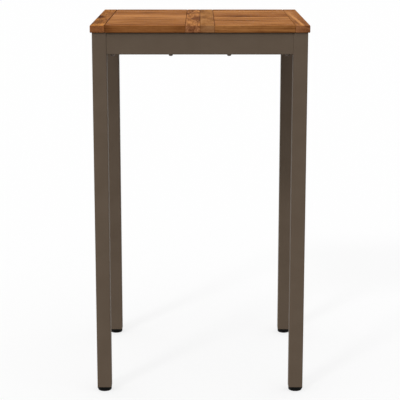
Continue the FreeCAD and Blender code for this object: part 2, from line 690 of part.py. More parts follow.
def make_glide(corner, side_x, side_y):
    """Round glide, turned to a slight taper with a sloped lower edge and a blind hole for its stem."""
    body = start_piece(f"{corner}_glide")
    profile = start_sketch(body, "profile", "XZ_Plane")
    upper = value("Sizes.glide_diameter") / 2
    lower = upper - value("Sizes.glide_taper")
    height = value("Sizes.glide_height")
    points = [
        ORIGIN,
        FreeCAD.Vector(lower, 0, 0),
        FreeCAD.Vector(upper, height, 0),
        FreeCAD.Vector(0, height, 0),
    ]
    for index in range(4):
        profile.addGeometry(Part.LineSegment(points[index], points[(index + 1) % 4]))
    for index in range(4):
        profile.addConstraint(Sketcher.Constraint("Coincident", index, 2, (index + 1) % 4, 1))
    profile.addConstraint(Sketcher.Constraint("Coincident", 0, 1, -1, 1))
    profile.addConstraint(Sketcher.Constraint("Horizontal", 0))
    profile.addConstraint(Sketcher.Constraint("Horizontal", 2))
    profile.addConstraint(Sketcher.Constraint("Vertical", 3))
    lower_edge = Sketcher.Constraint("DistanceX", 0, 1, 0, 2, lower)
    bind(profile, lower_edge, "lower_radius", "Sizes.glide_diameter / 2 - Sizes.glide_taper")
    upper_edge = Sketcher.Constraint("DistanceX", 2, 2, 2, 1, upper)
    bind(profile, upper_edge, "upper_radius", "Sizes.glide_diameter / 2")
    rise = Sketcher.Constraint("DistanceY", 3, 2, 3, 1, height)
    bind(profile, rise, "height", "Sizes.glide_height")
    turned = body.newObject("PartDesign::Revolution", "turned")
    turned.Profile = profile
    turned.ReferenceAxis = (profile, ["V_Axis"])
    turned.Angle = 360
    DOC.recompute()
    dress(body, "Chamfer", "lower_edge", "Sizes.glide_bevel", ring_at(lower, 0))
    dress(body, "Chamfer", "upper_edge", "Sizes.glide_rim", ring_at(upper, height))
    hole_under = f"{STEM_UNDER} - Sizes.stem_clearance"
    drill(body, "stem_hole", STEM_BORE, "Sizes.stem_seat + Sizes.stem_clearance", ("0", "0", hole_under))
    place(body, f"{side_x} * {LEG_X}", f"{side_y} * {LEG_Y}", "0")


def make_top():
    """Two halves of the top, and the batten that ties them."""
    count = int(value("Sizes.slat_count"))
    for name, side in (("left", -1), ("right", 1)):
        make_stile(f"{name}_outer_stile", side, outer=True)
        make_stile(f"{name}_inner_stile", side, outer=False)
        for index in range(count):
            make_slat(f"{name}_slat_{index + 1:02d}", side, index, count)
    make_batten()
    make_batten_screws()


def make_frame():
    """Legs, aprons, spigots and the bolts that join them."""
    for corner, (side_x, side_y, turn) in CORNERS.items():
        make_leg(corner, side_x, side_y)
        make_spigots(corner, side_x, side_y, turn)
    make_apron("front_apron", LEG_X, FRONT_BOLT, "0", f"-{APRON_Y}", 0)
    make_apron("back_apron", LEG_X, FRONT_BOLT, "0", APRON_Y, 180)
    make_apron("left_apron", LEG_Y, SIDE_BOLT, f"-{APRON_X}", "0", 90)
    make_apron("right_apron", LEG_Y, SIDE_BOLT, APRON_X, "0", 270)
    make_corner_fasteners()
    make_panel_fasteners()


def make_feet():
    """Plug, stem and glide under each leg, and the nuts in the plugs."""
    for corner, (side_x, side_y, _turn) in CORNERS.items():
        make_plug(corner, side_x, side_y)
        make_stem(corner, side_x, side_y)
        make_glide(corner, side_x, side_y)
    make_stem_nuts()


def check_document():
    """Stop if any object failed to compute or any sub-part has no sound shape."""
    DOC.recompute()
    failed = [part.Label for part in DOC.Objects if {"Invalid", "Error"} & set(part.State)]
    unsound = [body.Label for body in PIECES if body.Shape.isNull() or not body.Shape.isValid()]
    if failed or unsound:
        raise RuntimeError(f"failed objects: {failed}; unsound shapes: {unsound}")


def write_parts():
    """Write one file for each sub-part, named for it."""
    os.makedirs("parts", exist_ok=True)
    for body in PIECES:
        body.Shape.exportStep(f"parts/{body.Label}.step")
        print(f"{body.Label}: {len(body.Shape.Solids)} solid(s), {body.Shape.Volume:.1f} mm3")


make_top()
make_frame()
make_feet()
check_document()
write_parts()
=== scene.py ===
"""Looks of a bar-height patio table.

A slatted hardwood top in two halves sits on a frame of square steel tube, which stands on levelling feet.
Metres, +Z up. The frame gives every place, and the dataclass fields give the sizes of the new pieces.
"""

import logging
import math
import random
from collections.abc import Iterable, Sequence
from dataclasses import dataclass
from enum import Enum
from itertools import product

import bmesh
import bpy
from mathutils import Color, Matrix, Vector


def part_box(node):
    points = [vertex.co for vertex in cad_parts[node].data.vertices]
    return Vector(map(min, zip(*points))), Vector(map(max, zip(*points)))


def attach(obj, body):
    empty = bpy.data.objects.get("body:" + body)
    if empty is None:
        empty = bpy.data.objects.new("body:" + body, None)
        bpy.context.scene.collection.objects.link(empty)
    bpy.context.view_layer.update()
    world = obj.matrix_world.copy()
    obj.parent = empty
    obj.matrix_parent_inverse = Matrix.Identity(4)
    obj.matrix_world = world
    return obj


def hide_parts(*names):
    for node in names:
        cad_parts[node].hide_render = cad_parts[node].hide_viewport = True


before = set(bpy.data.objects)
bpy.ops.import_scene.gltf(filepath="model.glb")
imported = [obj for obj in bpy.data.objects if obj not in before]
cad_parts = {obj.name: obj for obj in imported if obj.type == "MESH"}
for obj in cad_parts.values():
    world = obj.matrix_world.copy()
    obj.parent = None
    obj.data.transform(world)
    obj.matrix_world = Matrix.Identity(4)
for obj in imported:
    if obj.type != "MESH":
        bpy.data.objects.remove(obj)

Pair = tuple[float, float]
Place = tuple[float, float, float]
Colour = tuple[float, float, float, float]
Form = bmesh.types.BMesh
Material = bpy.types.Material
Socket = bpy.types.NodeSocket

LOG = logging.getLogger("patio_table")
CORNERS = ("front_left", "front_right", "back_right", "back_left")
TABLE_BODY = "table"
SIDES = (-1.0, 1.0)
MERGE_DISTANCE = 1e-6
INSET_START = 0.0005
FACING = 0.9999
SHARP_ANGLE = math.radians(32.0)
CHANNEL_TOP = 255.0
WHITE = (1.0, 1.0, 1.0, 1.0)
RISING = (0.0, 1.0)
FALLING = (1.0, 0.0)

# Where most cloudy noise lies, and its middle.
NOISE_RANGE = (0.3, 0.7)
NOISE_MIDDLE = 0.5


def linear(red: int, green: int, blue: int) -> Colour:
    """Turn a colour of 0 to 255 per channel into the linear values that a shader takes."""
    light = Color((red / CHANNEL_TOP, green / CHANNEL_TOP, blue / CHANNEL_TOP))
    return (*light.from_srgb_to_scene_linear(), 1.0)


class NodeKit:
    """Node tree with short calls to add and join nodes."""

    def __init__(self, tree: bpy.types.NodeTree) -> None:
        """Work on one node tree."""
        self.tree = tree

    def add(self, kind: str, **settings: object) -> bpy.types.Node:
        """Add a node.

        Args:
            kind: Node type without its ShaderNode prefix.
            **settings: Properties of the node.

        Returns:
            The new node.
        """
        node = self.tree.nodes.new(f"ShaderNode{kind}")
        for name, value in settings.items():
            setattr(node, name, value)
        return node

    def feed(self, socket: Socket, source: object) -> None:
        """Give a socket a link from another socket, or a plain value.

        Args:
            socket: Input to feed.
            source: Output socket, number, colour or vector.
        """
        if isinstance(source, Socket):
            self.tree.links.new(source, socket)
        else:
            socket.default_value = source

    def fed(self, node: bpy.types.Node, *sources: object) -> bpy.types.Node:
        """Feed the first inputs of a node.

        Args:
            node: Node to feed.
            *sources: What its inputs get, in order.

        Returns:
            The same node.
        """
        for socket, source in zip(node.inputs, sources):
            self.feed(socket, source)
        return node

    def feed_named(self, node: bpy.types.Node, sources: dict[str, object]) -> None:
        """Feed inputs of a node by their names."""
        for name, source in sources.items():
            self.feed(node.inputs[name], source)

    def maths(self, operation: str, *terms: object) -> Socket:
        """Work out a number from sockets and plain numbers, in order."""
        return self.fed(self.add("Math", operation=operation), *terms).outputs["Value"]

    def axis(self, vector: Socket, name: str) -> Socket:
        """Give one part of a vector: X, Y or Z."""
        return self.fed(self.add("SeparateXYZ"), vector).outputs[name]

    def span(self, value: Socket, source: Pair, target: Pair) -> Socket:
        """Carry a value from one range to another, held at the ends."""
        return self.fed(self.add("MapRange", clamp=True), value, *source, *target).outputs["Result"]

    def layered(self, share: object, first: Socket, second: Socket) -> Socket:
        """Mix two shaders, of which the second has the share."""
        return self.fed(self.add("MixShader"), share, first, second).outputs["Shader"]


class Shader(NodeKit):
    """Node tree of one material, with calls for its patterns.

    Its position is the point on the surface, and its normal the way that the surface looks, both in the
    frame of the whole object.
    """

    def __init__(self, name: str) -> None:
        """Start a material with a plain surface shader.

        Args:
            name: Name of the material.
        """
        self.material = bpy.data.materials.new(name)
        self.material.use_nodes = True
        super().__init__(self.material.node_tree)
        self.surface = self.tree.nodes["Principled BSDF"]
        place = self.add("TexCoord").outputs
        self.position = place["Object"]
        self.normal = place["Normal"]

    def moved(self, operation: str, *terms: object) -> Socket:
        """Work out a vector from vectors, in order."""
        return self.fed(self.add("VectorMath", operation=operation), *terms).outputs["Vector"]

    def measured(self, operation: str, *terms: object) -> Socket:
        """Work out a number from vectors, in order."""
        return self.fed(self.add("VectorMath", operation=operation), *terms).outputs["Value"]

    def average(self, first: Socket, second: Socket, share: float) -> Socket:
        """Give the weighted average of two numbers, of which the second has the share."""
        return self.maths("MULTIPLY_ADD", second, share, self.maths("MULTIPLY", first, 1.0 - share))

    def noise(
        self, place: Socket, rate: float, detail: float = 2.0, rough: float = 0.5, twist: float = 0.0,
        in_line: bool = False,
    ) -> Socket:
        """Give cloudy noise from about 0.2 to 0.8.

        Args:
            place: Point where the noise is read, or a number along a line.
            rate: Features for each unit of the place.
            detail: Octaves added to the first.
            rough: Share that each octave keeps.
            twist: How far the noise is bent by itself.
            in_line: Whether the place is a number.

        Returns:
            Noise value.
        """
        node = self.add("TexNoise", noise_dimensions="1D" if in_line else "3D")
        self.feed(node.inputs["W" if in_line else "Vector"], place)
        self.feed_named(node, {"Scale": rate, "Detail": detail, "Roughness": rough, "Distortion": twist})
        return node.outputs["Fac"]

    def ramp(self, value: Socket, places: Sequence[float], colours: Sequence[Colour]) -> Socket:
        """Colour a value.

        Args:
            value: Number from 0 to 1.
            places: Places on the ramp, in rising order.
            colours: Colour at each place.

        Returns:
            Colour.
        """
        node = self.fed(self.add("ValToRGB"), value)
        bar = node.color_ramp.elements
        while len(bar) < len(places):
            bar.new(places[-1])
        for element, place, colour in zip(bar, places, colours):
            element.position = place
            element.color = colour
        return node.outputs["Color"]

    def mix(self, blend: str, share: object, first: object, second: object) -> Socket:
        """Mix two colours.

        Args:
            blend: Blend mode, such as MIX or MULTIPLY.
            share: How much of the second is used.
            first: Colour below.
            second: Colour above.

        Returns:
            Mixed colour.
        """
        node = self.add("Mix", data_type="RGBA", blend_type=blend)
        below, above = (socket for socket in node.inputs if socket.type == "RGBA")
        self.feed(node.inputs["Factor"], share)
        self.feed(below, first)
        self.feed(above, second)
        return next(socket for socket in node.outputs if socket.type == "RGBA")

    def bump(self, height: Socket, strength: float, depth: float) -> None:
        """Raise the surface by a height value.

        Args:
            height: Height from 0 to 1.
            strength: Share of the effect.
            depth: Height in metres that 1 stands for.
        """
        node = self.add("Bump")
        self.feed_named(node, {"Strength": strength, "Distance": depth, "Height": height})
        self.feed(self.surface.inputs["Normal"], node.outputs["Normal"])

    def complete(self, colour: Socket, rough: Socket, sheen: float, metallic: float = 0.0) -> Material:
        """Finish the material.

        Args:
            colour: Colour of the surface.
            rough: Roughness of the surface.
            sheen: Strength of its reflections.
            metallic: 1 for bare metal.

        Returns:
            The material.
        """
        values = {"Base Color": colour, "Roughness": rough, "Specular IOR Level": sheen, "Metallic": metallic}
        self.feed_named(self.surface, values)
        return self.material


class BoardTone(Enum):
    """Colours of one board: its dark lines, its body and its pale bands."""

    UMBER = (linear(99, 56, 27), linear(144, 90, 47), linear(163, 106, 59))
    RUSSET = (linear(105, 60, 29), linear(151, 96, 51), linear(169, 112, 63))
    AMBER = (linear(117, 70, 35), linear(165, 109, 60), linear(182, 124, 72))
    HONEY = (linear(127, 78, 40), linear(177, 120, 68), linear(193, 135, 80))
    PALE = (linear(140, 87, 47), linear(190, 129, 76), linear(206, 145, 88))
    ORANGE = (linear(100, 57, 26), linear(168, 108, 52), linear(206, 139, 70))
    FAWN = (linear(133, 86, 44), linear(157, 106, 57), linear(172, 121, 69))
    COPPER = (linear(114, 66, 33), linear(167, 109, 58), linear(197, 135, 77))

    @property
    def dark(self) -> Colour:
        """Give the colour of the dark lines."""
        return self.value[0]

    @property
    def body(self) -> Colour:
        """Give the colour of most of the board."""
        return self.value[1]

    @property
    def pale(self) -> Colour:
        """Give the colour of the pale bands."""
        return self.value[2]


class GrainRun(Enum):
    """Angle that turns a board's fibres onto the X axis."""

    LEFT_TO_RIGHT = 0.0
    FRONT_TO_BACK = -math.pi / 2


@dataclass(frozen=True)
class Knot:
    """Dark knot in a board, longer along it than across, which the grain bends round.

    Its place is from the middle of the board. Its core and rim are in its own half sizes.
    """

    place: Pair
    across: float
    along: float
    ragged_rate: float = 0.9
    ragged: float = 1.2
    core: float = 1.3
    rim: float = 2.2


@dataclass(frozen=True)
class Streak:
    """Pale sapwood or dark heartwood in a board, which crosses it on a slant.

    Its ends say how far to the right of the board's middle it lies at the front and at the back. It fades
    out from the first Y of its fade to the second. Its core and rim are shares of its half width.
    """

    ends: Pair
    half_width: float
    colour: Colour
    share: float
    fade: Pair
    half_length: float = 0.300
    waver: float = 0.006
    waver_rate: float = 14.0
    core: float = 0.25
    rim: float = 1.2


@dataclass(frozen=True)
class OiledHardwood:
    """Oiled hardwood of one board, as a solid pattern round the pith that the board was cut from.

    Rates are features for each metre, along the grain and across it. A range is where noise turns into
    a mark, and a depth or share is how strong the mark is.
    """

    tone: BoardTone
    run: GrainRun
    centre: Place
    seed: str
    figure: float = 0.0
    knots: tuple[Knot, ...] = ()
    streaks: tuple[Streak, ...] = ()
    joints: tuple[float, ...] = ()
    skew_degrees: float = 1.6
    pith_reach: tuple[Pair, Pair, Pair] = ((3.0, 40.0), (-0.05, 0.05), (0.03, 0.11))
    ring_rate: float = 150.0
    ring_share: float = 0.45
    ring_waver: float = 2.6
    waver_rates: Pair = (2.2, 16.0)
    patch_rates: Pair = (9.0, 24.0)
    tone_places: tuple[float, float, float] = (0.36, 0.48, 0.62)
    curl_rates: Pair = (7.0, 12.0)
    ripple_rates: Pair = (10.0, 60.0)
    ripple_share: float = 0.5
    ripple_twist: float = 1.6
    figure_range: Pair = (0.42, 0.58)
    vein_rates: Pair = (4.5, 85.0)
    vein_range: Pair = (0.60, 0.72)
    vein_depth: float = 0.55
    fibre_rates: Pair = (16.0, 620.0)
    fibre_range: Pair = (0.30, 0.60)
    fibre_tint: Colour = (0.74, 0.68, 0.62, 1.0)
    fibre_share: float = 0.8
    pore_rates: Pair = (55.0, 1500.0)
    pore_range: Pair = (0.58, 0.66)
    pore_depth: float = 0.45
    pore_sink: float = -0.7
    relief: float = 0.35
    relief_height: float = 0.0004
    knot_bend: float = 3.0
    knot_depth: float = 0.85
    # The joint fields set painted shade: upper arrises near each joint are darkened as a seam's shadow.
    joint_reach: float = 0.0018
    joint_core: float = 0.3
    joint_share: float = 0.5
    joint_slope: Pair = (0.1, 0.5)
    end_grain_slope: Pair = (0.5, 0.9)
    end_grain_tint: Colour = (0.90, 0.88, 1.12, 1.0)
    roughness: Pair = (0.80, 0.62)
    sheen: float = 0.01

    def material(self, name: str) -> Material:
        """Make the board's material."""
        return HardwoodShader(name, self).painted()


class HardwoodShader(Shader):
    """Node tree of one hardwood board, whose colour is laid on in layers.

    Its spot is the point from the middle of the board, in the table's axes. Its point is the same in the
    board's own axes, with the grain along X and the pith at zero. Its end grain is 1 on the two ends that
    cut across the fibres, and 0 on the faces along them.
    """

    def __init__(self, name: str, wood: OiledHardwood) -> None:
        """Start the material and draw where the pith lay.

        Args:
            name: Name of the material.
            wood: Finish of the board.
        """
        super().__init__(name)
        self.wood = wood
        self.spot = self.moved("SUBTRACT", self.position, wood.centre)
        draw = random.Random(wood.seed)
        skew = math.radians(draw.uniform(-wood.skew_degrees, wood.skew_degrees))
        pith = [draw.uniform(*reach) for reach in wood.pith_reach]
        board = self.fed(self.add("Mapping"), self.spot, pith, (0.0, 0.0, wood.run.value + skew))
        self.point = board.outputs["Vector"]
        look = self.axis(self.normal, "X" if wood.run is GrainRun.LEFT_TO_RIGHT else "Y")
        self.end_grain = self.span(self.maths("ABSOLUTE", look), wood.end_grain_slope, RISING)
        self.colour = self.bands()

    def grain(self, rates: Pair, **octaves: float) -> Socket:
        """Give noise that is drawn out along the grain, with a rate along it and another across it."""
        along, across = rates
        return self.noise(self.moved("MULTIPLY", self.point, (along, across, across)), 1.0, **octaves)

    def knot_nearness(self, knot: Knot) -> Socket:
        """Give how near the surface is to a knot.

        Args:
            knot: The knot.

        Returns:
            1 at the heart of the knot, falling to 0 about twice its size out.
        """
        offset = self.moved("SUBTRACT", self.spot, (*knot.place, 0.0))
        level = self.moved("MULTIPLY", offset, (1.0 / knot.across, 1.0 / knot.along, 0.0))
        edge = self.noise(self.position, knot.ragged_rate / knot.across, detail=3.0)
        reach = self.maths("MULTIPLY_ADD", edge, knot.ragged, self.measured("LENGTH", level))
        return self.span(reach, (knot.core, knot.rim), FALLING)

    def streak_nearness(self, streak: Streak) -> Socket:
        """Give how near the surface is to the middle of a streak.

        Args:
            streak: The streak.

        Returns:
            1 on the middle line, falling to 0 at the edges and along its fade.
        """
        front = Vector((streak.ends[0], -streak.half_length))
        run = Vector((streak.ends[1], streak.half_length)) - front
        across = Vector((run.y, -run.x)).normalized()
        level = self.measured("DOT_PRODUCT", self.spot, (*across, 0.0))
        off = self.maths("SUBTRACT", level, across.dot(front))
        sway = self.maths("SUBTRACT", self.noise(self.position, streak.waver_rate), NOISE_MIDDLE)
        off = self.maths("MULTIPLY_ADD", sway, streak.waver, off)
        share = self.maths("DIVIDE", self.maths("ABSOLUTE", off), streak.half_width)
        near = self.span(share, (streak.core, streak.rim), FALLING)
        kept = self.span(self.axis(self.spot, "Y"), streak.fade, FALLING)
        return self.maths("MULTIPLY", near, kept)

    def growth(self) -> Socket:
        """Give the growth rings, unevenly spaced, wavering along the board and bent round its knots.

        Returns:
            Value from about 0.2 to 0.8.
        """
        wood = self.wood
        section = self.moved("MULTIPLY", self.point, (0.0, 1.0, 1.0))
        ring = self.maths("MULTIPLY", self.measured("LENGTH", section), wood.ring_rate)
        place = self.maths("MULTIPLY_ADD", self.grain(wood.waver_rates), wood.ring_waver, ring)
        for knot in wood.knots:
            place = self.maths("MULTIPLY_ADD", self.knot_nearness(knot), wood.knot_bend, place)
        return self.noise(place, 1.0, detail=3.0, rough=0.6, in_line=True)

    def bands(self) -> Socket:
        """Give the colour of the growth rings and the broad patches.

        Returns:
            Colour.
        """
        patch = self.grain(self.wood.patch_rates, detail=3.0)
        share = self.average(patch, self.growth(), self.wood.ring_share)
        return self.ramp(share, self.wood.tone_places, self.wood.tone.value)

    def lay(self, blend: str, share: object, above: object) -> None:
        """Lay a colour over those before it."""
        self.colour = self.mix(blend, share, self.colour, above)

    def darken(self, share: object, depth: object) -> None:
        """Darken the colour by a share of a depth."""
        self.lay("MULTIPLY", self.maths("MULTIPLY", share, depth), self.wood.tone.dark)

    def lay_figure(self) -> None:
        """Lay blotches of curly grain."""
        wood = self.wood
        curl = self.grain(wood.curl_rates, detail=1.0)
        ripple = self.grain(wood.ripple_rates, detail=3.0, twist=wood.ripple_twist)
        share = self.average(curl, ripple, wood.ripple_share)
        self.lay("MIX", wood.figure, self.ramp(share, wood.figure_range, (wood.tone.dark, wood.tone.pale)))

    def lay_streaks(self) -> None:
        """Lay the streaks, on the faces along the fibres alone."""
        for streak in self.wood.streaks:
            face = self.span(self.end_grain, RISING, (streak.share, 0.0))
            self.lay("MIX", self.maths("MULTIPLY", self.streak_nearness(streak), face), streak.colour)

    def lay_seam_shade(self) -> None:
        """Paint shade on the upper arrises along the joints, darkening them as the seams' shadow would."""
        wood = self.wood
        upward = self.span(self.axis(self.normal, "Z"), wood.joint_slope, (0.0, wood.joint_share))
        place = self.axis(self.position, "X")
        for joint in wood.joints:
            off = self.maths("ABSOLUTE", self.maths("SUBTRACT", place, joint))
            near = self.span(off, (wood.joint_core * wood.joint_reach, wood.joint_reach), FALLING)
            self.darken(near, upward)

    def painted(self) -> Material:
        """Lay every mark of the wood and finish the material.

        Returns:
            The material.
        """
        wood = self.wood
        fibre = self.grain(wood.fibre_rates, detail=3.0, rough=0.6)
        pore = self.span(self.grain(wood.pore_rates), wood.pore_range, RISING)
        vein = self.span(self.grain(wood.vein_rates), wood.vein_range, (0.0, wood.vein_depth))
        if wood.figure > 0.0:
            self.lay_figure()
        self.lay("MIX", vein, wood.tone.dark)
        self.lay_streaks()
        self.lay("MULTIPLY", wood.fibre_share, self.ramp(fibre, wood.fibre_range, (wood.fibre_tint, WHITE)))
        self.darken(pore, wood.pore_depth)
        for knot in wood.knots:
            self.darken(self.knot_nearness(knot), wood.knot_depth)
        self.lay("MULTIPLY", self.end_grain, wood.end_grain_tint)
        # Painted shade of the seams, darkening the upper arrises along each joint.
        self.lay_seam_shade()
        rough = self.span(fibre, NOISE_RANGE, wood.roughness)
        height = self.maths("MULTIPLY_ADD", pore, wood.pore_sink, fibre)
        self.bump(height, wood.relief, wood.relief_height)
        return self.complete(self.colour, rough, wood.sheen)


@dataclass(frozen=True)
class Coating:
    """Surface with a broad mottle of two tones over a fine texture.

    The first tone shows where the mottle is low. Rates are features for each metre.
    """

    tones: tuple[Colour, Colour]
    roughness: Pair
    mottle_rate: float
    texture_rate: float
    relief: float
    relief_height: float
    mottle_range: Pair = (0.35, 0.65)
    mottle_share: float = 1.0
    mottle_detail: float = 3.0
    mottle_rough: float = 0.5
    texture_detail: float = 2.0
    metallic: float = 0.0
    sheen: float = 0.5

    def material(self, name: str) -> Material:
        """Make the material.

        Args:
            name: Name of the material.

        Returns:
            The material.
        """
        shader = Shader(name)
        mottle = shader.noise(shader.position, self.mottle_rate, self.mottle_detail, self.mottle_rough)
        texture = shader.noise(shader.position, self.texture_rate, self.texture_detail)
        shader.bump(texture, self.relief, self.relief_height)
        share = shader.span(mottle, self.mottle_range, (0.0, self.mottle_share))
        tone = shader.mix("MIX", share, *self.tones)
        rough = shader.span(mottle if self.metallic else texture, NOISE_RANGE, self.roughness)
        return shader.complete(tone, rough, self.sheen, self.metallic)


@dataclass(frozen=True)
class PowderCoat(Coating):
    """Matt powder coat: a fine orange-peel skin with faint clouds of tone."""

    tones: tuple[Colour, Colour] = (linear(101, 86, 71), linear(105, 90, 75))
    roughness: Pair = (0.58, 0.72)
    mottle_rate: float = 14.0
    texture_rate: float = 900.0
    relief: float = 0.22
    relief_height: float = 0.0003
    sheen: float = 0.25


@dataclass(frozen=True)
class MouldedPlastic(Coating):
    """Black moulded plastic with a fine spark-eroded texture and paler scuffs."""

    tones: tuple[Colour, Colour] = (linear(9, 9, 8), linear(18, 18, 16))
    roughness: Pair = (0.38, 0.58)
    mottle_rate: float = 120.0
    texture_rate: float = 1400.0
    relief: float = 0.25
    relief_height: float = 0.0002
    mottle_range: Pair = (0.52, 0.75)
    mottle_share: float = 0.6
    mottle_detail: float = 4.0
    mottle_rough: float = 0.6
    sheen: float = 0.08


@dataclass(frozen=True)
class PlatedSteel(Coating):
    """Plated steel with a faint mottle in its tone and its sheen."""

    mottle_rate: float = 260.0
    texture_rate: float = 2200.0
    relief: float = 0.1
    relief_height: float = 0.0001
    texture_detail: float = 1.0
    metallic: float = 1.0


def linked(name: str, data: bpy.types.ID) -> bpy.types.Object:
    """Add an object to the scene.

    Args:
        name: Name of the object.
        data: Its mesh, lamp or lens.

    Returns:
        The object.
    """
    item = bpy.data.objects.new(name, data)
    bpy.context.scene.collection.objects.link(item)
    return item


def finished(name: str, form: Form, material: Material, body: str, slot: str, *nodes: str) -> None:
    """Turn a finished form into a piece of the object that stands for some nodes of the frame.

    Args:
        name: Name of the piece.
        form: Closed mesh in its final place, which is freed.
        material: Finish of the whole piece.
        body: Body that carries it.
        slot: Material slot of the record; not used.
        *nodes: Nodes that it stands for.
    """
    bmesh.ops.recalc_face_normals(form, faces=form.faces)
    data = bpy.data.meshes.new(name)
    form.to_mesh(data)
    form.free()
    data.materials.append(material)
    data.shade_smooth()
    data.set_sharp_from_angle(angle=SHARP_ANGLE)
    piece = linked(name, data)
    weighted = piece.modifiers.new("flat_faces", "WEIGHTED_NORMAL")
    weighted.keep_sharp = True
    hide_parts(*nodes)
    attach(piece, body)
    LOG.info("%s: %d faces on %s", name, len(data.polygons), body)


def dress(material: Material, nodes: Iterable[str]) -> None:
    """Give nodes of the frame their finish.

    Args:
        material: The finish.
        nodes: Names of the nodes.
    """
    for name in nodes:
        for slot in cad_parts[name].material_slots:
            slot.material = material
        LOG.info("%s: dressed in %s", name, material.name)


def middle(node: str) -> Vector:
    """Give the middle of a node's box."""
    low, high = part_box(node)
    return (low + high) / 2


def rounded(form: Form, edges: Sequence[bmesh.types.BMEdge], radius: float, segments: int) -> None:
    """Round some edges of a form.

    Args:
        form: Form that owns the edges.
        edges: The edges.
        radius: Radius of the rounding.
        segments: Steps of the rounding.
    """
    bmesh.ops.bevel(
        form, geom=edges, offset=radius, offset_type="OFFSET",
        affect="EDGES", segments=segments, profile=0.5, material=-1,
    )


def repeat(form: Form, moves: Iterable[Vector]) -> None:
    """Copy all of a form, once for each move.

    Args:
        form: Form to copy and add to.
        moves: How far each copy lies from the form.
    """
    whole = [*form.verts, *form.edges, *form.faces]
    for move in moves:
        copied = bmesh.ops.duplicate(form, geom=whole)["geom"]
        verts = [item for item in copied if isinstance(item, bmesh.types.BMVert)]
        bmesh.ops.translate(form, vec=move, verts=verts)


def side_faces(form: Form, normal: Vector) -> list[bmesh.types.BMFace]:
    """Find the flat faces that look one way and are not part of a rounding.

    Args:
        form: Form to search.
        normal: Way that the faces look.

    Returns:
        The faces.
    """
    form.normal_update()
    facing = [face for face in form.faces if face.normal.dot(normal) > FACING]
    reach = max(face.calc_center_median().dot(normal) for face in facing)
    return [face for face in facing if reach - face.calc_center_median().dot(normal) < MERGE_DISTANCE]


def push_rectangle(form: Form, face: bmesh.types.BMFace, centre: Vector, size: Pair, move: Vector) -> None:
    """Push a rectangle in or out of an upright face: a tenon or a mortise.

    Args:
        form: Form that owns the face.
        face: Four-sided face, square to X.
        centre: Middle of the rectangle.
        size: Size of the rectangle along Y and Z.
        move: How far it is pushed.
    """
    bmesh.ops.inset_individual(form, faces=[face], thickness=INSET_START, depth=0.0)
    start = face.calc_center_median()
    width, height = size
    for vert in face.verts:
        vert.co.y = centre.y + math.copysign(width / 2, vert.co.y - start.y)
        vert.co.z = centre.z + math.copysign(height / 2, vert.co.z - start.z)
    pushed = bmesh.ops.extrude_discrete_faces(form, faces=[face])["faces"]
    bmesh.ops.translate(form, vec=move, verts=[vert for new in pushed for vert in new.verts])


